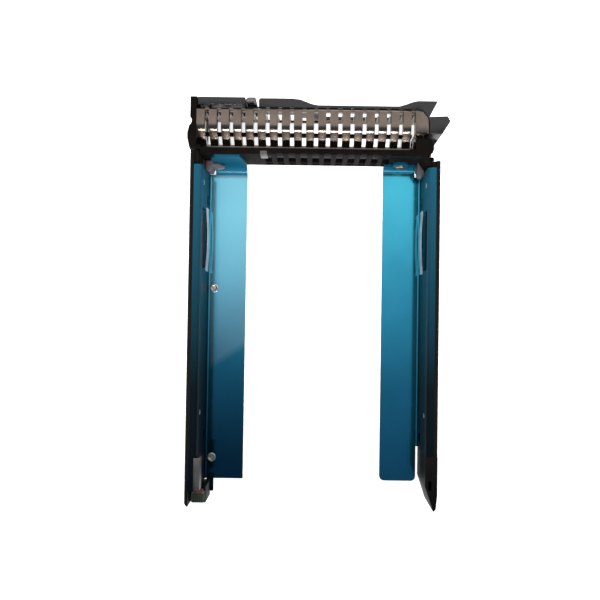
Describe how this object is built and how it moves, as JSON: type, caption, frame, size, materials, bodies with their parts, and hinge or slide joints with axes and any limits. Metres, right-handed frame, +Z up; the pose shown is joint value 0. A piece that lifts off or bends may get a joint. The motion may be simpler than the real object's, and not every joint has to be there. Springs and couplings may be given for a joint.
{
  "type": "hot swap drive caddy",
  "caption": "Open U-shaped tray that carries a small drive: folded metal sides, moulded rails, ribbed front grille, a swing-out ejector lever and a release button.",
  "frame": {"origin": "mid-plane between the side walls, at the underside of the floor flanges, half way between the front face and the rear tail", "axes": "+Y from the front bezel to the rear, +Z up out of the open side, +X to the button side"},
  "size_m": [0.0822, 0.1278, 0.0154],
  "materials": {
    "teal_sheet": "glossy metallic teal lacquer on folded steel",
    "black_plastic": "moulded, satin black",
    "taupe_plastic": "satin metallic taupe lacquer on moulded plastic",
    "lever_plastic": "moulded, satin black",
    "button_plastic": "moulded, satin black",
    "smoked_lens": "smoked translucent plastic",
    "steel": "bright zinc plate",
    "spring_steel": "bright rolled strip and wire",
    "circuit_board": "green solder mask",
    "gold": "gold plate",
    "amber_flex": "amber film",
    "tin_clip": "dull tin plate",
    "grey_plastic": "moulded, satin grey"
  },
  "bodies": {
    "caddy": {"button_side_plate": "teal_sheet", "hinge_side_plate": "teal_sheet", "button_side_rail": "black_plastic", "hinge_side_rail": "black_plastic", "bezel_frame": "black_plastic", "fin_grille": "taupe_plastic", "lever_pin": "steel", "lever_spring": "spring_steel", "button_spring": "spring_steel", "status_lens": "smoked_lens", "button_side_leaf": "spring_steel", "hinge_side_leaf": "spring_steel", "floor_rivets": "steel", "button_rail_rivets": "steel", "hinge_rail_rivets": "steel", "front_screw": "steel", "contact_board": "circuit_board", "contact_pads": "gold", "flex_circuit": "amber_flex", "led_board": "circuit_board", "contact_clip": "tin_clip", "bezel_clip": "tin_clip", "button_corner_tab": "grey_plastic", "hinge_corner_tab": "grey_plastic"},
    "lever": {"ejector_lever": "lever_plastic", "activity_lens": "smoked_lens"},
    "button": {"release_button": "button_plastic"}
  },
  "joints": [
    {"name": "lever_hinge", "type": "hinge", "parent": "caddy", "child": "lever", "pos_m": [-0.0336, -0.053, 0.008], "axis": [0, 0, -1], "range_deg": [0, 60], "deforming": ["lever_spring"]},
    {"name": "button_press", "type": "slide", "parent": "caddy", "child": "button", "axis": [0, 1, 0], "range_m": [0, 0.0008], "stiffness_N_per_m": 400, "deforming": ["button_spring"]}
  ]
}
